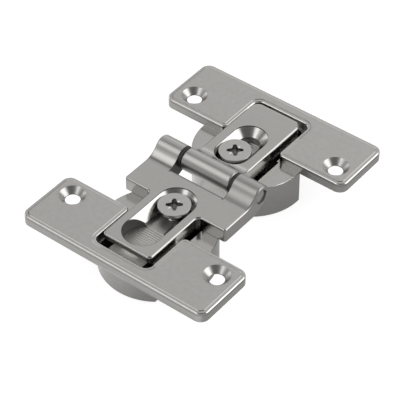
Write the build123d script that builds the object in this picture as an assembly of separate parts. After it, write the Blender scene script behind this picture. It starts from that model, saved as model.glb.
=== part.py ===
"""Concealed folding door hinge: two cup plates, two adjustable arms, one pin and two clamp screws.

The hinge lies open and flat. X runs along the pin, Y from the near door to the far door, Z up,
and the two cup bottoms stand on Z = 0. Sizes are in millimetres.
"""
from build123d import *
from math import acos, atan2, cos, pi, sin, sqrt, tan
import os

# Cup plates: a flanged cup that drops into a hole bored in the door.
cup_diameter = 35.0
cup_height = 11.5             # cup bottom to the seat that carries the arm
cup_foot_radius = 0.8
cup_wall = 0.7                # between the side pockets and the cup's outside
cup_floor = 2.0
cup_offset = 0.1              # cup centre, from the plate's inner edge towards the pin
plate_length = 65.2
plate_width = 20.9
plate_thickness = 3.3
plate_gap = 43.8              # between the inner edges of the two plates
plate_corner_radius = 2.8
plate_edge_radius = 0.5
seat_depth = 3.1              # arm seat, below the plate's top
panel_inset = 1.0             # border that runs round the raised panel of the plate
panel_step = 0.12
panel_slope = 0.3             # width of the slope from the border up to the panel
slot_width = 19.3             # opening of the plate that takes the arm's tongue
slot_strip = 4.8              # strip left between that opening and the plate's outer edge
slot_corner_radius = 2.2
slot_mouth_radius = 1.6
relief_side = 10.1            # flat that trims one flank of the cup, from the centre plane
relief_start = 0.5            # where the flat begins, outward of the cup centre
relief_radius = 1.5
pocket_width = 18.6           # over both side pockets
channel_chamfer = 0.8

# Wood screw holes of the plates.
hole_spacing = 52.0
hole_inset = 6.1              # from the plate's inner edge
hole_diameter = 4.5
hole_sink_diameter = 7.9
hole_sink_angle = 45.0        # between the countersink's wall and the hole's axis
hole_land = 0.3               # straight wall below the countersink
hole_back_diameter = 8.6      # shallow round relief behind each hole

# Serrated pad that the clamp screw pulls the tongue down on.
pad_width = 12.0
serration_pitch = 0.8
serration_tip = 0.16          # flat left on each ridge
serration_depth = 0.15
serration_start = 33.2        # outermost groove, from the middle of the hinge
serration_count = 14

# Arms.
near_arm_thickness = 4.4
far_arm_thickness = 4.8
seat_clearance = 0.05
tongue_width = 17.2
tongue_end_gap = 2.45         # tongue end to the strip of the plate
near_tongue_radius = 1.4      # end corners, seen from above
far_tongue_radius = 2.8
tongue_heel_chamfer = 2.6     # under the tongue's end
arm_edge_radius = 0.6
shoulder_width = 36.4
shoulder_reach = 16.9         # shoulder front face to the pin
shoulder_corner_radius = 0.8
shoulder_inner_radius = 1.4
slot_sink_angle = 45.0
slot_lip = 0.35               # straight wall above the cone of a slot

# Knuckles and pin.
pin_diameter = 4.5
pin_offset = 2.7              # pin axis, from the middle of the hinge towards the far door
pin_rise = 0.45               # pin axis above the near arm's top face
pin_chamfer = 0.5
pin_recess = 0.5              # pin end below the knuckle's end face
pin_seat_clearance = 0.01     # pin pressed into the near arm
pin_running_clearance = 0.05  # pin in the far arm's knuckle
barrel_diameter = 7.0
barrel_blend_radius = 6.0
barrel_heel = 2.4             # pin axis to where the arm's underside begins to rise
knuckle_gap = 1.1             # on each side of the middle knuckle, taken by a washer
washer_diameter = 6.7
washer_side_clearance = 0.05
notch_reach = 6.6             # pin axis to the bottom of the near arm's notch

# Clamp screws and the slots that they slide in.
screw_diameter = 5.0
screw_length = 12.0
screw_head_diameter = 9.7
screw_head_rim = 0.9
screw_tip_chamfer = 0.6
screw_from_middle = 14.1
screw_seat_gap = 0.15
screw_thread_clearance = 0.05
screw_hole_depth = 10.0       # below the seat
screw_slot_clearance = 0.85   # each side of the shank
recess_span = 4.8             # cross recess of the screw head
recess_arm = 1.3
recess_depth = 2.5
recess_taper = 8.0
recess_turn = 38.0            # degrees between the recess and the pin
slot_end = 13.2               # pin-side end centre of both slots, from the middle
near_slot_rim = 12.0
keyhole_diameter = 12.0       # round end of the near slot, which the screw head passes
keyhole_wall = 1.55           # between the keyhole and the tongue's end
far_slot_rim = 11.2
far_slot_travel = 7.6

# Levels and places that follow.
seat_z = cup_height
plate_top = seat_z + seat_depth
plate_under = plate_top - plate_thickness
inner_edge = plate_gap / 2
outer_edge = inner_edge + plate_width
slot_wall = outer_edge - slot_strip
cup_centre = inner_edge - cup_offset
cup_radius = cup_diameter / 2
arm_under = seat_z + seat_clearance
near_top = arm_under + near_arm_thickness
far_top = arm_under + far_arm_thickness
tongue_end = slot_wall - tongue_end_gap
pin_z = near_top + pin_rise
barrel_radius = barrel_diameter / 2
notch_half = tongue_width / 2 + knuckle_gap
overshoot = 1.0               # length by which a cutter stands clear of the face it opens
pick = 0.01                   # distance within which a corner or an edge counts as the one meant


def block(x0, x1, y0, y1, z0, z1):
    """Box between two corners."""
    return Pos((x0 + x1) / 2, (y0 + y1) / 2, (z0 + z1) / 2) * Box(x1 - x0, y1 - y0, z1 - z0)


def upright(radius, x, y, z0, z1):
    """Cylinder that stands between two levels."""
    return Pos(x, y, (z0 + z1) / 2) * Cylinder(radius, z1 - z0)


def along_x(section, x0, x1):
    """Profile drawn as (y, z), pulled from x0 to x1."""
    return extrude(Pos(x0, 0, 0) * (Plane.YZ * section), x1 - x0, dir=(1, 0, 0))


def along_y(section, y0, y1):
    """Profile drawn as (x, z), pulled from y0 to y1."""
    return extrude(Pos(0, y0, 0) * (Plane.XZ * section), y1 - y0, dir=(0, 1, 0))


def sink(top_radius, low_radius, angle, x, y, z_top):
    """Countersink: a cone below z_top, from its wide rim down to the narrow hole."""
    height = (top_radius - low_radius) / tan(angle * pi / 180)
    return Pos(x, y, z_top - height / 2) * Cone(low_radius, top_radius, height)


def sunk_slot(rim, y0, y1, arm_top):
    """Countersunk slot through an arm, with round ends centred at y0 and y1, y0 the lesser."""
    low = screw_diameter / 2 + screw_slot_clearance
    high = rim / 2
    lip_z = arm_top - slot_lip
    neck_z = lip_z - (high - low) / tan(slot_sink_angle * pi / 180)
    low_z = arm_under - overshoot
    high_z = arm_top + overshoot
    section = Polygon((low, low_z), (low, neck_z), (high, lip_z), (high, high_z),
                      (-high, high_z), (-high, lip_z), (-low, neck_z), (-low, low_z), align=None)
    cutter = along_y(section, y0, y1)
    for y in (y0, y1):
        cutter += sink(high, low, slot_sink_angle, 0, y, lip_z)
        cutter += upright(low, 0, y, low_z, lip_z)
        cutter += upright(high, 0, y, lip_z, high_z)
    return cutter


def plate_outline(inset):
    """Plate seen from above, drawn in from its edges by inset, with the tongue's opening."""
    half = plate_length / 2 - inset
    half_slot = slot_width / 2 + inset
    low = inner_edge + inset
    high = outer_edge - inset
    wall = slot_wall + inset
    face = make_face(Polyline((-half, low), (-half_slot, low), (-half_slot, wall), (half_slot, wall),
                              (half_slot, low), (half, low), (half, high), (-half, high), close=True))
    corners = face.vertices().filter_by(lambda v: abs(abs(v.X) - half) < pick)
    face = fillet(corners, plate_corner_radius - inset)
    mouths = face.vertices().filter_by(lambda v: abs(abs(v.X) - half_slot) < pick and abs(v.Y - low) < pick)
    face = fillet(mouths, slot_mouth_radius - inset)
    slots = face.vertices().filter_by(lambda v: abs(abs(v.X) - half_slot) < pick and abs(v.Y - wall) < pick)
    return fillet(slots, slot_corner_radius + inset)


def cup_plate():
    """One-piece casting for the far door: plate, cup, side pockets and serrated pad."""
    border_top = plate_top - panel_step
    border = extrude(Pos(0, 0, seat_z) * plate_outline(0), border_top - seat_z)
    border = fillet(border.faces().sort_by(Axis.Z)[-1].edges(), plate_edge_radius)
    panel = extrude(Pos(0, 0, seat_z) * plate_outline(panel_inset), plate_top - seat_z)
    panel_face = panel.faces().sort_by(Axis.Z)[-1]
    panel = chamfer(panel_face.edges(), panel_slope, panel_step, reference=panel_face)
    web = RectangleRounded(plate_length, plate_width, plate_corner_radius)
    web = extrude(Pos(0, inner_edge + plate_width / 2, plate_under) * web, seat_z - plate_under)
    cup = upright(cup_radius, 0, cup_centre, 0, seat_z)
    cup = fillet(cup.edges().sort_by(Axis.Z)[0], cup_foot_radius)
    cup = fillet(cup.edges().sort_by(Axis.Z)[-1], seat_z - plate_under)
    casting = cup + web + border + panel

    relief_y = cup_centre + relief_start
    relief = block(relief_side, cup_diameter, relief_y, relief_y + cup_diameter, -overshoot, plate_under)
    relief = fillet(relief.edges().filter_by(Axis.Z).sort_by(Axis.X)[:2].sort_by(Axis.Y)[0], relief_radius)
    casting -= relief

    inside = upright(cup_radius - cup_wall, 0, cup_centre, cup_floor, seat_z + overshoot)
    for side in (-1, 1):
        edge = side * pocket_width / 2
        low_x, high_x = sorted((side * pad_width / 2, edge))
        casting -= block(low_x, high_x, 0, slot_wall, cup_floor, seat_z + overshoot) & inside
        lip = side * (pocket_width / 2 + channel_chamfer)
        bevel = Polygon((edge, seat_z - channel_chamfer), (lip, seat_z), (edge, seat_z), align=None)
        bevel_start = cup_centre - sqrt((cup_radius - cup_wall) ** 2 - edge ** 2) + channel_chamfer
        casting -= along_y(bevel, bevel_start, inner_edge)

    groove_half = (serration_pitch - serration_tip) / 2
    groove = Polygon((-groove_half, seat_z), (groove_half, seat_z), (0, seat_z - serration_depth), align=None)
    for number in range(serration_count):
        y = serration_start - number * serration_pitch
        casting -= Pos(0, y, 0) * along_x(groove, -pad_width / 2, pad_width / 2)

    thread_radius = screw_diameter / 2 + screw_thread_clearance
    casting -= upright(thread_radius, 0, screw_from_middle, seat_z - screw_hole_depth, seat_z + overshoot)
    hole_y = inner_edge + hole_inset
    hole_sink_depth = (hole_sink_diameter - hole_diameter) / 2 / tan(hole_sink_angle * pi / 180)
    web_under = plate_top - hole_sink_depth - hole_land
    for x in (-hole_spacing / 2, hole_spacing / 2):
        casting -= upright(hole_diameter / 2, x, hole_y, plate_under - overshoot, plate_top + overshoot)
        casting -= sink(hole_sink_diameter / 2, hole_diameter / 2, hole_sink_angle, x, hole_y, plate_top)
        casting -= upright(hole_back_diameter / 2, x, hole_y, plate_under - overshoot, web_under)
    return casting


def knuckle_section(reach, arm_top):
    """Side view of an arm where it grows into its barrel, for an arm on the far side of the pin.

    Points are (distance from the pin axis, height). The top face runs into the barrel through a
    concave arc, and the underside rises along a tangent to the barrel.
    """
    rise = arm_top + barrel_blend_radius - pin_z
    blend_y = sqrt((barrel_radius + barrel_blend_radius) ** 2 - rise ** 2)
    blend = (blend_y, arm_top + barrel_blend_radius)
    share = barrel_radius / (barrel_radius + barrel_blend_radius)
    touch = (blend_y * share, pin_z + rise * share)
    turn = atan2(touch[1] - blend[1], touch[0] - blend[0])
    middle_turn = (turn % (2 * pi) + 1.5 * pi) / 2
    middle = (blend[0] + barrel_blend_radius * cos(middle_turn),
              blend[1] + barrel_blend_radius * sin(middle_turn))

    drop = pin_z - arm_under
    heel_distance = sqrt(barrel_heel ** 2 + drop ** 2)
    heel_turn = atan2(-drop, barrel_heel) - acos(barrel_radius / heel_distance)
    tangent = (barrel_radius * cos(heel_turn), pin_z + barrel_radius * sin(heel_turn))
    start_turn = atan2(touch[1] - pin_z, touch[0])
    back_turn = (start_turn + heel_turn % (2 * pi)) / 2
    back = (barrel_radius * cos(back_turn), pin_z + barrel_radius * sin(back_turn))

    outline = [
        Line((reach, arm_under), (reach, arm_top)),
        Line((reach, arm_top), (blend_y, arm_top)),
        ThreePointArc((blend_y, arm_top), middle, touch),
        ThreePointArc(touch, back, tangent),
        Line(tangent, (barrel_heel, arm_under)),
        Line((barrel_heel, arm_under), (reach, arm_under)),
    ]
    return make_face(outline)


def knuckle(reach, arm_top, x0, x1, rounded_ends):
    """Length of barrel with its root, on the far side of the pin, from x0 to x1."""
    body = Pos(0, pin_offset, 0) * along_x(knuckle_section(reach, arm_top), x0, x1)
    for end in rounded_ends:
        face = body.faces().filter_by(Axis.X).sort_by(Axis.X)[end]
        rim = face.edges().filter_by(
            lambda e: e.center().Z > arm_under + pick and abs(e.center().Y - pin_offset - reach) > pick)
        body = fillet(rim, arm_edge_radius)
    return body


def flip(body):
    """The same piece on the near side of the pin."""
    return Pos(0, pin_offset, 0) * mirror(Pos(0, -pin_offset, 0) * body, Plane.XZ)


def slab(outline, thickness, joint_y):
    """Flat bar of an arm's thickness, its top edges eased but for the one that meets the knuckles."""
    bar = extrude(Pos(0, 0, arm_under) * outline, thickness)
    eased = bar.faces().sort_by(Axis.Z)[-1].edges().filter_by(lambda e: abs(e.center().Y - joint_y) > pick)
    return fillet(eased, arm_edge_radius)


def tongue_heel():
    """Wedge that clears the underside of the far tongue's end."""
    wedge = Polygon((tongue_end + overshoot, arm_under - overshoot),
                    (tongue_end + overshoot, arm_under + tongue_heel_chamfer + overshoot),
                    (tongue_end - tongue_heel_chamfer - overshoot, arm_under - overshoot), align=None)
    return along_x(wedge, -tongue_width, tongue_width)


def near_arm_piece():
    """T-shaped arm with two outer knuckles and a countersunk keyhole slot."""
    half = tongue_width / 2
    wide = shoulder_width / 2
    front = pin_offset - shoulder_reach
    notch_y = pin_offset - notch_reach
    outline = make_face(Polyline((-half, -tongue_end), (half, -tongue_end), (half, front), (wide, front),
                                 (wide, notch_y), (-wide, notch_y), (-wide, front), (-half, front),
                                 close=True))
    ends = outline.vertices().filter_by(lambda v: abs(v.Y + tongue_end) < pick)
    outline = fillet(ends, near_tongue_radius)
    inner = outline.vertices().filter_by(lambda v: abs(v.Y - front) < pick and abs(abs(v.X) - half) < pick)
    outline = fillet(inner, shoulder_inner_radius)
    outer = outline.vertices().filter_by(lambda v: abs(v.Y - front) < pick and abs(abs(v.X) - wide) < pick)
    outline = fillet(outer, shoulder_corner_radius)
    arm = slab(outline, near_arm_thickness, notch_y)

    root = shoulder_reach - shoulder_corner_radius - arm_edge_radius
    arm += flip(knuckle(root, near_top, notch_half, wide, [-1]))
    arm += flip(knuckle(root, near_top, -wide, -notch_half, [0]))
    keyhole_y = keyhole_wall + keyhole_diameter / 2 - tongue_end
    arm -= sunk_slot(near_slot_rim, keyhole_y, -slot_end, near_top)
    arm -= upright(keyhole_diameter / 2, 0, keyhole_y, arm_under - overshoot, near_top + overshoot)
    arm -= mirror(tongue_heel(), Plane.XZ)
    bore = pin_diameter / 2 + pin_seat_clearance
    arm -= Pos(0, pin_offset, pin_z) * Rot(0, 90, 0) * Cylinder(bore, shoulder_width + 2 * overshoot)
    return arm


def far_arm_piece():
    """Straight arm with the middle knuckle and a countersunk slot."""
    half = tongue_width / 2
    root = pin_offset + barrel_heel + barrel_blend_radius + barrel_radius
    outline = make_face(Polyline((-half, root), (half, root), (half, tongue_end), (-half, tongue_end),
                                 close=True))
    ends = outline.vertices().filter_by(lambda v: abs(v.Y - tongue_end) < pick)
    outline = fillet(ends, far_tongue_radius)
    arm = slab(outline, far_arm_thickness, root)
    arm += knuckle(root - pin_offset, far_top, -half, half, [0, -1])
    arm -= sunk_slot(far_slot_rim, slot_end, slot_end + far_slot_travel, far_top)
    arm -= tongue_heel()
    bore = pin_diameter / 2 + pin_running_clearance
    arm -= Pos(0, pin_offset, pin_z) * Rot(0, 90, 0) * Cylinder(bore, tongue_width + 2 * overshoot)
    return arm


def hinge_pin_piece():
    """Plain pin with chamfered ends, just below the outer faces of the knuckles."""
    pin = Cylinder(pin_diameter / 2, shoulder_width - 2 * pin_recess)
    pin = chamfer(pin.edges().filter_by(GeomType.CIRCLE), pin_chamfer)
    return Pos(0, pin_offset, pin_z) * Rot(0, 90, 0) * pin


def thrust_washer(x):
    """Thin washer on the pin, between an outer knuckle and the middle one, centred at x."""
    ring = Cylinder(washer_diameter / 2, knuckle_gap - 2 * washer_side_clearance)
    ring -= Cylinder(pin_diameter / 2 + pin_running_clearance, knuckle_gap + overshoot)
    return Pos(x, pin_offset, pin_z) * Rot(0, 90, 0) * ring


def clamp_screw(rim, y, arm_top):
    """Countersunk machine screw that seats in a slot with the given rim width."""
    head_radius = screw_head_diameter / 2
    shank_radius = screw_diameter / 2
    slope = slot_sink_angle * pi / 180
    cone_top = arm_top - slot_lip - (rim / 2 - head_radius - screw_seat_gap / cos(slope)) / tan(slope)
    top = cone_top + screw_head_rim
    cone_low = cone_top - (head_radius - shank_radius) / tan(slope)
    tip = top - screw_length
    profile = Polygon((0, tip), (shank_radius - screw_tip_chamfer, tip),
                      (shank_radius, tip + screw_tip_chamfer), (shank_radius, cone_low),
                      (head_radius, cone_top), (head_radius, top), (0, top), align=None)
    screw = revolve(Plane.XZ * profile, Axis.Z)
    for turn in (recess_turn, recess_turn + 90):
        arm = Rot(0, 0, turn) * Rectangle(recess_span, recess_arm)
        screw -= extrude(Pos(0, 0, top) * arm, -recess_depth, taper=recess_taper)
    return Pos(0, y, 0) * screw


far_plate = cup_plate()
pieces = {
    "near_cup_plate": mirror(far_plate, Plane.XZ),
    "far_cup_plate": far_plate,
    "near_arm": near_arm_piece(),
    "far_arm": far_arm_piece(),
    "hinge_pin": hinge_pin_piece(),
    "left_washer": thrust_washer(-(tongue_width + knuckle_gap) / 2),
    "right_washer": thrust_washer((tongue_width + knuckle_gap) / 2),
    "near_clamp_screw": clamp_screw(near_slot_rim, -screw_from_middle, near_top),
    "far_clamp_screw": clamp_screw(far_slot_rim, screw_from_middle, far_top),
}

os.makedirs("parts", exist_ok=True)
for name, piece in pieces.items():
    export_step(piece, f"parts/{name}.step")
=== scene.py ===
import math
import bpy
import numpy as np
from mathutils import Matrix, Vector


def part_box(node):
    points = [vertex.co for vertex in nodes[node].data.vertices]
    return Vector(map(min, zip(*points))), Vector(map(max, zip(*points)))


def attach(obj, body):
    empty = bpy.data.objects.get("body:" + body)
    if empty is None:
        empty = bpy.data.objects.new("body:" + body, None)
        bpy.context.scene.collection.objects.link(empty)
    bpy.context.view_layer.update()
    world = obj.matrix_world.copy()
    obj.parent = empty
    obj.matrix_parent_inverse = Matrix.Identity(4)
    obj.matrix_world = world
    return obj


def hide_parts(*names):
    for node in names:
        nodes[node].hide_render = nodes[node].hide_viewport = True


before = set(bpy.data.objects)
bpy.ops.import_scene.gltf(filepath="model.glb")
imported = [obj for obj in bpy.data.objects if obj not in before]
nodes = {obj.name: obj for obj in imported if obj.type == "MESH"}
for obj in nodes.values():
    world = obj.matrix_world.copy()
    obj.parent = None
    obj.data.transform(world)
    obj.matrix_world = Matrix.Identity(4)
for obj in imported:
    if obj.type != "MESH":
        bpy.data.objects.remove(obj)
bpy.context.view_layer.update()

# The two cup plates are zinc castings under satin nickel. Their faces keep the mottling and grain of the
# mould.
# The upper edges and the panel's step carry a painted highlight, with a painted dark line under the edges.
# The pads are rough as cast and painted lighter, as if lit, their ends much lighter, and the slot mouths
# and wells are painted with shade.
plate_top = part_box("near_cup_plate")[1].z
seat_level = plate_top - 0.0031
all_over = 1.0
cast_dark = (0.352, 0.346, 0.334)
cast_light = (0.442, 0.435, 0.42)
# Painted highlight: a level band just under the plate's top, on the rounded upper edges, is lighter and
# smoother.
painted_edge_highlight = dict(form="box", middle=(0.0, 0.0, plate_top - 0.00029), half=(all_over, all_over, 0.00016),
                 roughness=0.14, shade=1.42)
# Painted shade: the band below it, at the top of the side faces, is darker, a painted dark line.
painted_edge_shade_line = dict(form="box", middle=(0.0, 0.0, plate_top - 0.00075), half=(all_over, all_over, 0.00026),
                  roughness=0.3, shade=0.7)
# Painted highlight: the thin band of the raised panel's step is lighter.
painted_step_highlight = dict(form="box", middle=(0.0, 0.0, plate_top - 0.00005), half=(all_over, all_over, 0.00004),
                   roughness=0.14, shade=1.25)
# The pads are rough as cast; their lighter shade is painted light on the seat under the tongue.
painted_light_pad = dict(form="round", middle=(0.0, 0.0, seat_level), half=(0.0066, all_over, 0.0004),
           roughness=0.45, shade=1.2)
pad_end_y = 0.036
painted_light_pad_end_half = (0.0061, 0.0025, 0.0004)
pocket_x = 0.0081
# Painted shade: the slot mouths and the wells beneath them are darker and rougher.
mouth_y = 0.0313
mouth_level = plate_top - 0.0018
shaded_mouth_half = (0.0021, 0.0074, 0.001)
well_y = 0.0296
well_level = plate_top - 0.008
shaded_well_half = (0.0021, 0.0058, 0.0047)
wood_screw_x = 0.026
wood_screw_y = 0.028
countersink_half = (0.0047, 0.0047, all_over)


def patch_mask(tree, place, form, middle, half):
    """Socket that is 1 inside a patch of a piece and 0 outside it.

    With q = (p - middle) / half, a "round" patch is where |q| < 1 and a "box" patch where
    max(|qx|, |qy|, |qz|) < 1. A rim of 2 % of the half size fades from one to the other.
    """
    rim = 1.02
    link = tree.links.new
    shift = tree.nodes.new("ShaderNodeVectorMath")
    shift.operation = "SUBTRACT"
    shift.inputs[1].default_value = middle
    link(place, shift.inputs[0])
    share = tree.nodes.new("ShaderNodeVectorMath")
    share.operation = "DIVIDE"
    share.inputs[1].default_value = half
    link(shift.outputs["Vector"], share.inputs[0])
    if form == "round":
        away = tree.nodes.new("ShaderNodeVectorMath")
        away.operation = "LENGTH"
        link(share.outputs["Vector"], away.inputs[0])
    else:
        size = tree.nodes.new("ShaderNodeVectorMath")
        size.operation = "ABSOLUTE"
        link(share.outputs["Vector"], size.inputs[0])
        axes = tree.nodes.new("ShaderNodeSeparateXYZ")
        link(size.outputs["Vector"], axes.inputs["Vector"])
        level = tree.nodes.new("ShaderNodeMath")
        level.operation = "MAXIMUM"
        link(axes.outputs["X"], level.inputs[0])
        link(axes.outputs["Y"], level.inputs[1])
        away = tree.nodes.new("ShaderNodeMath")
        away.operation = "MAXIMUM"
        link(level.outputs["Value"], away.inputs[0])
        link(axes.outputs["Z"], away.inputs[1])
    within = tree.nodes.new("ShaderNodeMapRange")
    within.inputs["From Min"].default_value = rim
    within.inputs["From Max"].default_value = 1.0
    link(away.outputs["Value"], within.inputs["Value"])
    return within.outputs["Result"]


def plated_metal(name, dark, light, roughness, spread, grain, edge, streaks=None, patches=()):
    """Nickel plate over metal, in the piece's own coordinates.

    One noise pattern moves the colour between dark and light and the roughness by +-spread, a
    finer one raises a grain of the given height in metres, and edges are eased by a radius.
    streaks, when given, is the (x, y, z) stretch of a third pattern that scores the face. In a patch
    the roughness is the patch's own and the plate's colour is multiplied by its shade. A later patch
    covers an earlier one.
    """
    mottle_scale = 700.0
    mould_scale = 2600.0
    material = bpy.data.materials.new(name)
    material.use_nodes = True
    tree = material.node_tree
    tree.nodes.clear()
    link = tree.links.new
    place = tree.nodes.new("ShaderNodeTexCoord").outputs["Object"]

    mottle = tree.nodes.new("ShaderNodeTexNoise")
    mottle.inputs["Scale"].default_value = mottle_scale
    mottle.inputs["Detail"].default_value = 5.0
    mottle.inputs["Roughness"].default_value = 0.7
    link(place, mottle.inputs["Vector"])
    tone = tree.nodes.new("ShaderNodeMix")
    tone.data_type = "RGBA"
    tone.inputs["A"].default_value = (*dark, 1.0)
    tone.inputs["B"].default_value = (*light, 1.0)
    link(mottle.outputs["Fac"], tone.inputs["Factor"])
    polish = tree.nodes.new("ShaderNodeMapRange")
    polish.inputs["From Min"].default_value = 0.25
    polish.inputs["From Max"].default_value = 0.75
    polish.inputs["To Min"].default_value = roughness - spread
    polish.inputs["To Max"].default_value = roughness + spread
    link(mottle.outputs["Fac"], polish.inputs["Value"])

    mould = tree.nodes.new("ShaderNodeTexNoise")
    mould.inputs["Scale"].default_value = mould_scale
    mould.inputs["Detail"].default_value = 2.0
    link(place, mould.inputs["Vector"])
    eased = tree.nodes.new("ShaderNodeBevel")
    eased.samples = 6
    eased.inputs["Radius"].default_value = edge
    lift = tree.nodes.new("ShaderNodeBump")
    lift.inputs["Strength"].default_value = 1.0
    lift.inputs["Distance"].default_value = grain
    link(mould.outputs["Fac"], lift.inputs["Height"])
    link(eased.outputs["Normal"], lift.inputs["Normal"])
    normal = lift.outputs["Normal"]

    if streaks is not None:
        stretch = tree.nodes.new("ShaderNodeMapping")
        stretch.inputs["Scale"].default_value = streaks
        link(place, stretch.inputs["Vector"])
        lines = tree.nodes.new("ShaderNodeTexNoise")
        lines.inputs["Scale"].default_value = 1.0
        lines.inputs["Detail"].default_value = 3.0
        link(stretch.outputs["Vector"], lines.inputs["Vector"])
        score = tree.nodes.new("ShaderNodeBump")
        score.inputs["Strength"].default_value = 1.0
        score.inputs["Distance"].default_value = grain
        link(lines.outputs["Fac"], score.inputs["Height"])
        link(normal, score.inputs["Normal"])
        normal = score.outputs["Normal"]

    colour = tone.outputs["Result"]
    finish = polish.outputs["Result"]
    for patch in patches:
        within = patch_mask(tree, place, patch["form"], patch["middle"], patch["half"])
        shaded = tree.nodes.new("ShaderNodeVectorMath")
        shaded.operation = "SCALE"
        shaded.inputs["Scale"].default_value = patch["shade"]
        link(tone.outputs["Result"], shaded.inputs[0])
        patch_colour = tree.nodes.new("ShaderNodeMix")
        patch_colour.data_type = "RGBA"
        link(within, patch_colour.inputs["Factor"])
        link(colour, patch_colour.inputs["A"])
        link(shaded.outputs["Vector"], patch_colour.inputs["B"])
        colour = patch_colour.outputs["Result"]
        patch_finish = tree.nodes.new("ShaderNodeMix")
        patch_finish.inputs["B"].default_value = patch["roughness"]
        link(within, patch_finish.inputs["Factor"])
        link(finish, patch_finish.inputs["A"])
        finish = patch_finish.outputs["Result"]

    surface = tree.nodes.new("ShaderNodeBsdfPrincipled")
    surface.inputs["Metallic"].default_value = 1.0
    link(colour, surface.inputs["Base Color"])
    link(finish, surface.inputs["Roughness"])
    link(normal, surface.inputs["Normal"])
    out = tree.nodes.new("ShaderNodeOutputMaterial")
    link(surface.outputs["BSDF"], out.inputs["Surface"])
    return material


def dress(obj, material):
    """Gives a piece its one material."""
    obj.data.materials.clear()
    obj.data.materials.append(material)


for side, towards in (("near", -1), ("far", 1)):
    cast_patches = [painted_edge_highlight, painted_edge_shade_line, painted_step_highlight, painted_light_pad]
    # Painted light: the pad's end in front of the tongue, rough as cast, is painted much lighter, as if
    # lit.
    cast_patches.append(dict(form="box", middle=(0.0, towards * pad_end_y, seat_level), half=painted_light_pad_end_half,
                             roughness=0.9, shade=2.2))
    for hand in (-1, 1):
        shaded_mouth_middle = (hand * pocket_x, towards * mouth_y, mouth_level)
        shaded_well_middle = (hand * pocket_x, towards * well_y, well_level)
        countersink_middle = (hand * wood_screw_x, towards * wood_screw_y, 0.0)
        cast_patches += [
            # Painted shade in the slot mouths and wells; each countersink keeps the plain plate.
            dict(form="box", middle=shaded_mouth_middle, half=shaded_mouth_half, roughness=0.4, shade=0.8),
            dict(form="box", middle=shaded_well_middle, half=shaded_well_half, roughness=0.4, shade=0.8),
            dict(form="round", middle=countersink_middle, half=countersink_half, roughness=0.3, shade=1.0),
        ]
    cast_nickel = plated_metal(f"{side}_cast_nickel", cast_dark, cast_light, roughness=0.16, spread=0.04,
                               grain=4e-6, edge=0.00015, patches=cast_patches)
    dress(nodes[f"{side}_cup_plate"], cast_nickel)

# The arms are cast too, but polished before plating. Their barrels were turned and left satin and carry a
# slight painted light, the top of the near arm's right knuckle is painted with shade, and the keyhole's
# wall, the cheeks of the notch between the outer knuckles and its front edge are rough as cast and painted
# dark with shade.
pin_low, pin_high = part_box("hinge_pin")
pin_y = (pin_low.y + pin_high.y) / 2
pin_z = (pin_low.z + pin_high.z) / 2
polished_dark = (0.358, 0.352, 0.339)
polished_light = (0.403, 0.397, 0.384)
along_arm_streaks = (40.0, 2400.0, 2400.0)
# Painted light: the barrels, satin as turned, are a touch lighter.
barrel = dict(form="round", middle=(0.0, pin_y, pin_z), half=(all_over, 0.0038, 0.0038),
              roughness=0.34, shade=1.03)
# Painted shade: the top of the near arm's right knuckle is darker.
right_knuckle_painted_shade = dict(form="box", middle=(0.0142, pin_y, pin_z + 0.0017), half=(0.0046, 0.0075, 0.00205),
                     roughness=0.4, shade=0.93)
# Painted shade: the keyhole's wall is rough as cast and painted dark.
keyhole_painted_shade = dict(form="round", middle=(0.0, -0.028, 0.0), half=(0.00606, 0.00606, all_over),
               roughness=0.5, shade=0.5)
# Painted shade: the cheeks of the notch between the outer knuckles are painted dark.
cheek_x = 0.0096
painted_shade_cheeks = [dict(form="box", middle=(hand * cheek_x, pin_y - 0.0017, pin_z - 0.0007),
               half=(0.00025, 0.0055, 0.0042), roughness=0.4, shade=0.4) for hand in (-1, 1)]
# Painted shade: a dark line along the notch's front edge.
notch_edge_painted_shade = dict(form="box", middle=(0.0, pin_y - 0.0066, pin_z - 0.0009), half=(0.0094, 0.0004, 0.0006),
                  roughness=0.35, shade=0.55)
arm_patches = {"near_arm": [barrel, right_knuckle_painted_shade, keyhole_painted_shade, *painted_shade_cheeks, notch_edge_painted_shade], "far_arm": [barrel]}
for name, patches in arm_patches.items():
    polished_nickel = plated_metal(f"{name}_nickel", polished_dark, polished_light, roughness=0.2,
                                   spread=0.03, grain=3e-6, edge=0.00015, streaks=along_arm_streaks,
                                   patches=patches)
    dress(nodes[name], polished_nickel)

# The pin is drawn steel under the same plate, a little brighter than the castings. It is pressed into
# the near arm, and its cropped ends lie just below the end faces of the outer knuckles.
steel_dark = (0.384, 0.378, 0.365)
steel_light = (0.448, 0.442, 0.429)
drawn_steel = plated_metal("drawn_steel", steel_dark, steel_light, roughness=0.25, spread=0.04, grain=2e-6,
                           edge=0.0001)
dress(nodes["hinge_pin"], drawn_steel)

# Two thin moulded washers ride on the pin and keep the knuckles apart. They are of matt black plastic
# with a faint bloom.
washer_dark = (0.012, 0.012, 0.013)
washer_bloom = (0.03, 0.03, 0.03)
bloom_scale = 1500.0
black_plastic = bpy.data.materials.new("black_plastic")
black_plastic.use_nodes = True
washer_tree = black_plastic.node_tree
washer_surface = washer_tree.nodes["Principled BSDF"]
washer_surface.inputs["Roughness"].default_value = 0.6
washer_place = washer_tree.nodes.new("ShaderNodeTexCoord")
washer_noise = washer_tree.nodes.new("ShaderNodeTexNoise")
washer_noise.inputs["Scale"].default_value = bloom_scale
washer_tone = washer_tree.nodes.new("ShaderNodeMix")
washer_tone.data_type = "RGBA"
washer_tone.inputs["A"].default_value = (*washer_dark, 1.0)
washer_tone.inputs["B"].default_value = (*washer_bloom, 1.0)
washer_tree.links.new(washer_place.outputs["Object"], washer_noise.inputs["Vector"])
washer_tree.links.new(washer_noise.outputs["Fac"], washer_tone.inputs["Factor"])
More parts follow.
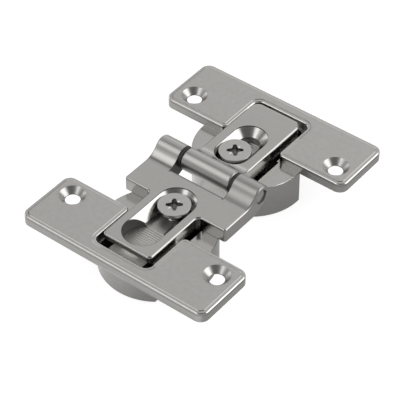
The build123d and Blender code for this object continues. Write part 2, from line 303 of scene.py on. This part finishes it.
washer_tree.links.new(washer_tone.outputs["Result"], washer_surface.inputs["Base Color"])
for name in ("left_washer", "right_washer"):
    dress(nodes[name], black_plastic)

# The clamp screws are countersunk machine screws. The cross recess has straight tapering wings and
# a short tick between each pair, and the shank carries a coarse thread down to a chamfered tip.


def screw_mesh(name, node, turn):
    """Screw as one grid that runs from the middle of the head, over the rim, down to the tip.

    Rows step along the profile and columns round the axis. On the head the height is
    top - depth(u, v), with (u, v) turned by the recess angle; the wings are |v| < w(u) and
    |u| < span, their walls one slope wide. On the shank the radius is
    r - cut * |2 * frac(z / pitch + angle / turn) - 1|, one ridge a turn.
    """
    low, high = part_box(node)
    centre_y = (low.y + high.y) / 2
    head = (high.x - low.x) / 2
    top = high.z
    tip = low.z
    shank = 0.0025
    rim = 0.0009
    pitch = 0.0008
    cut = 0.00042
    tip_chamfer = 0.0006
    edge_round = 0.00012
    wing_span = 0.0024
    wing_middle = 0.001
    wing_end = 0.00045
    wing_depth = 0.0026
    wing_rise = 0.0009
    wall = 0.0002
    tick_inner = 0.0014
    tick_outer = 0.0023
    tick_half = 0.00014
    tick_depth = 0.00014
    crease = math.radians(32)
    columns = 288
    head_rows = 84
    round_rows = 5
    thread_rows = 150
    angle = np.arange(columns) / columns * 2 * math.pi

    radius = np.linspace(0.0, head - edge_round, head_rows)[1:]
    r_grid, a_grid = np.meshgrid(radius, angle, indexing="ij")
    u = r_grid * np.cos(a_grid - turn)
    v = r_grid * np.sin(a_grid - turn)
    depth = np.zeros_like(r_grid)
    for along, across in ((u, v), (v, u)):
        outward = np.clip(np.abs(along) / wing_span, 0, 1)
        half = wing_middle + (wing_end - wing_middle) * outward
        inside = np.minimum(half - np.abs(across), wing_span - np.abs(along))
        bottom = wing_depth - wing_rise * outward
        depth = np.maximum(depth, bottom * np.clip(inside / wall, 0, 1))
    for along, across in ((u + v, u - v), (u - v, u + v)):
        along = np.abs(along) / math.sqrt(2)
        across = np.abs(across) / math.sqrt(2)
        tick = np.where((along > tick_inner) & (along < tick_outer), 1 - across / tick_half, 0.0)
        depth = np.maximum(depth, tick_depth * np.clip(tick, 0, 1))
    rows_r = [r_grid]
    rows_z = [top - depth]

    turn_in = np.linspace(0, math.pi / 2, round_rows)[1:, None]
    rows_r.append(np.tile(head - edge_round + edge_round * np.sin(turn_in), (1, columns)))
    rows_z.append(np.tile(top - edge_round + edge_round * np.cos(turn_in), (1, columns)))
    cone_top = top - rim
    cone_low = cone_top - (head - shank)
    rows_r.append(np.tile([[head], [shank]], (1, columns)))
    rows_z.append(np.tile([[cone_top], [cone_low]], (1, columns)))
    thread_z = np.linspace(cone_low, tip + tip_chamfer, thread_rows)[1:]
    z_grid, a_grid = np.meshgrid(thread_z, angle, indexing="ij")
    phase = np.mod(z_grid / pitch + a_grid / (2 * math.pi), 1.0)
    ease = np.clip((cone_low - z_grid) / pitch, 0, 1)
    rows_r.append(shank - cut * ease * np.abs(2 * phase - 1))
    rows_z.append(z_grid)
    rows_r.append(np.full((1, columns), shank - cut - tip_chamfer))
    rows_z.append(np.full((1, columns), tip))

    r_all = np.concatenate(rows_r)
    z_all = np.concatenate(rows_z)
    x = r_all * np.cos(angle)
    y = centre_y + r_all * np.sin(angle)
    points = np.stack([x, y, z_all], axis=-1).reshape(-1, 3)
    head_middle = len(points)
    tip_middle = head_middle + 1
    points = np.vstack([points, [[0.0, centre_y, top - wing_depth], [0.0, centre_y, tip]]])
    here = np.arange(head_middle).reshape(-1, columns)
    after = np.roll(here, -1, axis=1)
    bands = np.stack([here[:-1], here[1:], after[1:], after[:-1]], axis=-1).reshape(-1, 4)
    head_fan = np.stack([np.full(columns, head_middle), here[0], after[0]], axis=-1)
    tip_fan = np.stack([np.full(columns, tip_middle), after[-1], here[-1]], axis=-1)
    mesh = bpy.data.meshes.new(name)
    mesh.from_pydata(points.tolist(), [], bands.tolist() + head_fan.tolist() + tip_fan.tolist())
    mesh.shade_smooth()
    mesh.set_sharp_from_angle(angle=crease)
    obj = bpy.data.objects.new(name, mesh)
    bpy.context.scene.collection.objects.link(obj)
    return obj


screw_nickel = plated_metal("screw_nickel", steel_dark, steel_light, roughness=0.2, spread=0.04, grain=2e-6,
                            edge=0.00008)
recess_turn = math.radians(38.4)
for side in ("near", "far"):
    screw = screw_mesh(f"{side}_screw", f"{side}_clamp_screw", recess_turn)
    dress(screw, screw_nickel)
    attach(screw, f"{side}_cup")
    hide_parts(f"{side}_clamp_screw")

# Floor of the studio: a plain pale sheet that the cups stand on. It glows a little, keeps a soft shadow and
# is clear from below.
# In the metal's reflections it shows painted light: it glows more at the left and in front than under the
# hinge, and most in three small spots near the cups.
floor_half = 3.0
floor_drop = 0.00005
floor_grey = (0.35, 0.35, 0.35)
floor_seen_glow = 0.86
floor_low_glow = 0.3
# Painted light: each pool raises the glow that the metal sees in reflections, towards the left, in front,
# and in three small spots.
painted_floor_light_pools = [
    dict(measure="DOT_PRODUCT", place=(-1.0, -0.6, 0.0), fade=(0.01, 0.036), share=0.58),
    dict(measure="DOT_PRODUCT", place=(0.0, -1.0, 0.0), fade=(0.046, 0.055), share=0.74),
    dict(measure="DISTANCE", place=(-0.004, -0.001, 0.0), fade=(0.012, 0.007), share=1.0),
    dict(measure="DISTANCE", place=(-0.021, -0.026, 0.0), fade=(0.011, 0.005), share=1.0),
    dict(measure="DISTANCE", place=(-0.016, 0.007, 0.0), fade=(0.009, 0.003), share=0.9),
]
floor_corners = np.array([(-1, -1, 0), (1, -1, 0), (1, 1, 0), (-1, 1, 0)]) * floor_half
floor_corners[:, 2] = -floor_drop
floor_mesh = bpy.data.meshes.new("floor")
floor_mesh.from_pydata(floor_corners.tolist(), [], [(0, 1, 2, 3)])
floor = bpy.data.objects.new("floor", floor_mesh)
bpy.context.scene.collection.objects.link(floor)
floor_paper = bpy.data.materials.new("floor_paper")
floor_paper.use_nodes = True
floor_tree = floor_paper.node_tree
floor_tree.nodes.clear()
floor_path = floor_tree.nodes.new("ShaderNodeLightPath")
floor_place = floor_tree.nodes.new("ShaderNodeTexCoord")
floor_share = None
for zone in painted_floor_light_pools:
    zone_reach = floor_tree.nodes.new("ShaderNodeVectorMath")
    zone_reach.operation = zone["measure"]
    zone_reach.inputs[1].default_value = zone["place"]
    zone_fade = floor_tree.nodes.new("ShaderNodeMapRange")
    zone_fade.interpolation_type = "SMOOTHSTEP"
    zone_fade.inputs["From Min"].default_value = zone["fade"][0]
    zone_fade.inputs["From Max"].default_value = zone["fade"][1]
    zone_fade.inputs["To Max"].default_value = zone["share"]
    zone_most = floor_tree.nodes.new("ShaderNodeMath")
    zone_most.operation = "MAXIMUM"
    zone_most.inputs[1].default_value = 0.0
    floor_tree.links.new(floor_place.outputs["Object"], zone_reach.inputs[0])
    floor_tree.links.new(zone_reach.outputs["Value"], zone_fade.inputs["Value"])
    floor_tree.links.new(zone_fade.outputs["Result"], zone_most.inputs[0])
    if floor_share is not None:
        floor_tree.links.new(floor_share, zone_most.inputs[1])
    floor_share = zone_most.outputs["Value"]
floor_mirrored = floor_tree.nodes.new("ShaderNodeMath")
floor_mirrored.operation = "MULTIPLY"
floor_through = floor_tree.nodes.new("ShaderNodeMath")
floor_through.operation = "MAXIMUM"
floor_seen = floor_tree.nodes.new("ShaderNodeMath")
floor_seen.operation = "MAXIMUM"
floor_pick = floor_tree.nodes.new("ShaderNodeMapRange")
floor_pick.inputs["To Min"].default_value = floor_low_glow
floor_pick.inputs["To Max"].default_value = floor_seen_glow
floor_matt = floor_tree.nodes.new("ShaderNodeBsdfDiffuse")
floor_matt.inputs["Color"].default_value = (*floor_grey, 1.0)
floor_glow = floor_tree.nodes.new("ShaderNodeEmission")
floor_sum = floor_tree.nodes.new("ShaderNodeAddShader")
floor_face = floor_tree.nodes.new("ShaderNodeNewGeometry")
floor_clear = floor_tree.nodes.new("ShaderNodeBsdfTransparent")
floor_one_sided = floor_tree.nodes.new("ShaderNodeMixShader")
floor_out = floor_tree.nodes.new("ShaderNodeOutputMaterial")
floor_tree.links.new(floor_path.outputs["Is Glossy Ray"], floor_mirrored.inputs[0])
floor_tree.links.new(floor_share, floor_mirrored.inputs[1])
floor_tree.links.new(floor_mirrored.outputs["Value"], floor_through.inputs[0])
floor_tree.links.new(floor_path.outputs["Is Transmission Ray"], floor_through.inputs[1])
floor_tree.links.new(floor_through.outputs["Value"], floor_seen.inputs[0])
floor_tree.links.new(floor_path.outputs["Is Camera Ray"], floor_seen.inputs[1])
floor_tree.links.new(floor_seen.outputs["Value"], floor_pick.inputs["Value"])
floor_tree.links.new(floor_pick.outputs["Result"], floor_glow.inputs["Strength"])
floor_tree.links.new(floor_matt.outputs["BSDF"], floor_sum.inputs[0])
floor_tree.links.new(floor_glow.outputs["Emission"], floor_sum.inputs[1])
floor_tree.links.new(floor_face.outputs["Backfacing"], floor_one_sided.inputs["Fac"])
floor_tree.links.new(floor_sum.outputs["Shader"], floor_one_sided.inputs[1])
floor_tree.links.new(floor_clear.outputs["BSDF"], floor_one_sided.inputs[2])
floor_tree.links.new(floor_one_sided.outputs["Shader"], floor_out.inputs["Surface"])
floor_mesh.materials.append(floor_paper)

# Studio light: a dim room with soft round panels, broad ones behind the hinge and at its right and
# left, smaller ones overhead and in front. A white backdrop runs round the room above the floor's end.
room_level = 0.22
backdrop_rise = (0.16, 0.05)
plain_white = (1.0, 1.0, 1.0, 1.0)
studio_panels = {
    "back_panel": dict(towards=(-0.45, 0.57, 0.68), inner=14, outer=32, strength=0.69),
    "right_panel": dict(towards=(0.7, 0.5, 0.45), inner=12, outer=32, strength=2.8),
    "upper_back_panel": dict(towards=(0.15, 0.57, 0.8), inner=6, outer=20, strength=0.94),
    "overhead_left_panel": dict(towards=(-0.454, -0.377, 0.807), inner=5, outer=26, strength=1.48),
    "overhead_front_panel": dict(towards=(-0.2, -0.73, 0.65), inner=5, outer=15, strength=1.9),
    "front_left_panel": dict(towards=(-0.6, -0.6, 0.5), inner=10, outer=34, strength=0.19),
    "low_left_panel": dict(towards=(-0.99, -0.1, 0.02), inner=10, outer=30, strength=1.7),
    "low_back_panel": dict(towards=(-0.45, 0.87, 0.2), inner=8, outer=24, strength=0.55),
    "front_fill": dict(towards=(0.0, -0.94, 0.34), inner=10, outer=40, strength=0.25),
    "back_fill": dict(towards=(0.0, 0.94, 0.34), inner=10, outer=40, strength=0.25),
}
world = bpy.data.worlds.new("studio")
bpy.context.scene.world = world
world.use_nodes = True
sky = world.node_tree
sky.nodes.clear()
sky_place = sky.nodes.new("ShaderNodeTexCoord")


def panel_light(name, towards, inner, outer, strength):
    """Soft round panel in the sky: full within the inner angle of its middle, none past the outer one."""
    facing = sky.nodes.new("ShaderNodeVectorMath")
    facing.operation = "DOT_PRODUCT"
    facing.inputs[1].default_value = Vector(towards).normalized()
    sky.links.new(sky_place.outputs["Generated"], facing.inputs[0])
    fade = sky.nodes.new("ShaderNodeMapRange")
    fade.name = name
    fade.interpolation_type = "SMOOTHSTEP"
    fade.inputs["From Min"].default_value = math.cos(math.radians(outer))
    fade.inputs["From Max"].default_value = math.cos(math.radians(inner))
    fade.inputs["To Max"].default_value = strength
    sky.links.new(facing.outputs["Value"], fade.inputs["Value"])
    return fade.outputs["Result"]


room_light = None
for name, panel in studio_panels.items():
    add = sky.nodes.new("ShaderNodeMath")
    add.operation = "ADD"
    add.inputs[1].default_value = room_level
    sky.links.new(panel_light(name, **panel), add.inputs[0])
    if room_light is not None:
        sky.links.new(room_light, add.inputs[1])
    room_light = add.outputs["Value"]
sky_axes = sky.nodes.new("ShaderNodeSeparateXYZ")
sky.links.new(sky_place.outputs["Generated"], sky_axes.inputs["Vector"])
backdrop = sky.nodes.new("ShaderNodeMapRange")
backdrop.interpolation_type = "SMOOTHSTEP"
backdrop.inputs["From Min"].default_value = backdrop_rise[0]
backdrop.inputs["From Max"].default_value = backdrop_rise[1]
sky.links.new(sky_axes.outputs["Z"], backdrop.inputs["Value"])
brightest = sky.nodes.new("ShaderNodeMath")
brightest.operation = "MAXIMUM"
sky.links.new(room_light, brightest.inputs[0])
sky.links.new(backdrop.outputs["Result"], brightest.inputs[1])
room = sky.nodes.new("ShaderNodeBackground")
room.inputs["Color"].default_value = plain_white
sky.links.new(brightest.outputs["Value"], room.inputs["Strength"])
white = sky.nodes.new("ShaderNodeBackground")
white.inputs["Color"].default_value = plain_white
white.inputs["Strength"].default_value = 1.0
sky_path = sky.nodes.new("ShaderNodeLightPath")
sky_seen = sky.nodes.new("ShaderNodeMath")
sky_seen.operation = "MAXIMUM"
sky_pick = sky.nodes.new("ShaderNodeMixShader")
sky_out = sky.nodes.new("ShaderNodeOutputWorld")
sky.links.new(sky_path.outputs["Is Camera Ray"], sky_seen.inputs[0])
sky.links.new(sky_path.outputs["Is Transmission Ray"], sky_seen.inputs[1])
sky.links.new(sky_seen.outputs["Value"], sky_pick.inputs["Fac"])
sky.links.new(room.outputs["Background"], sky_pick.inputs[1])
sky.links.new(white.outputs["Background"], sky_pick.inputs[2])
sky.links.new(sky_pick.outputs["Shader"], sky_out.inputs["Surface"])

# Camera: a long lens above the near right corner, turned so that the pin falls away to the right.
camera_target = Vector((0.0038, -0.00722, 0.0144))
camera_distance = 0.5384
camera_azimuth = math.radians(38.382)
camera_elevation = math.radians(43.043)
camera_roll = math.radians(-0.316)
camera_lens = 170.92
camera_sensor = 36.0
camera_clip_start = 0.01
back = Vector((math.sin(camera_azimuth) * math.cos(camera_elevation),
               -math.cos(camera_azimuth) * math.cos(camera_elevation), math.sin(camera_elevation)))
level_right = (-back).cross(Vector((0, 0, 1))).normalized()
level_up = level_right.cross(-back)
right = level_right * math.cos(camera_roll) + level_up * math.sin(camera_roll)
up = level_up * math.cos(camera_roll) - level_right * math.sin(camera_roll)
eye = camera_target + back * camera_distance
camera = bpy.data.objects.new("camera", bpy.data.cameras.new("camera"))
camera.data.lens = camera_lens
camera.data.sensor_width = camera_sensor
camera.data.clip_start = camera_clip_start
camera.matrix_world = Matrix(((right.x, up.x, back.x, eye.x), (right.y, up.y, back.y, eye.y),
                              (right.z, up.z, back.z, eye.z), (0, 0, 0, 1)))
bpy.context.scene.collection.objects.link(camera)
bpy.context.scene.camera = camera
bpy.context.scene.view_settings.view_transform = "Standard"
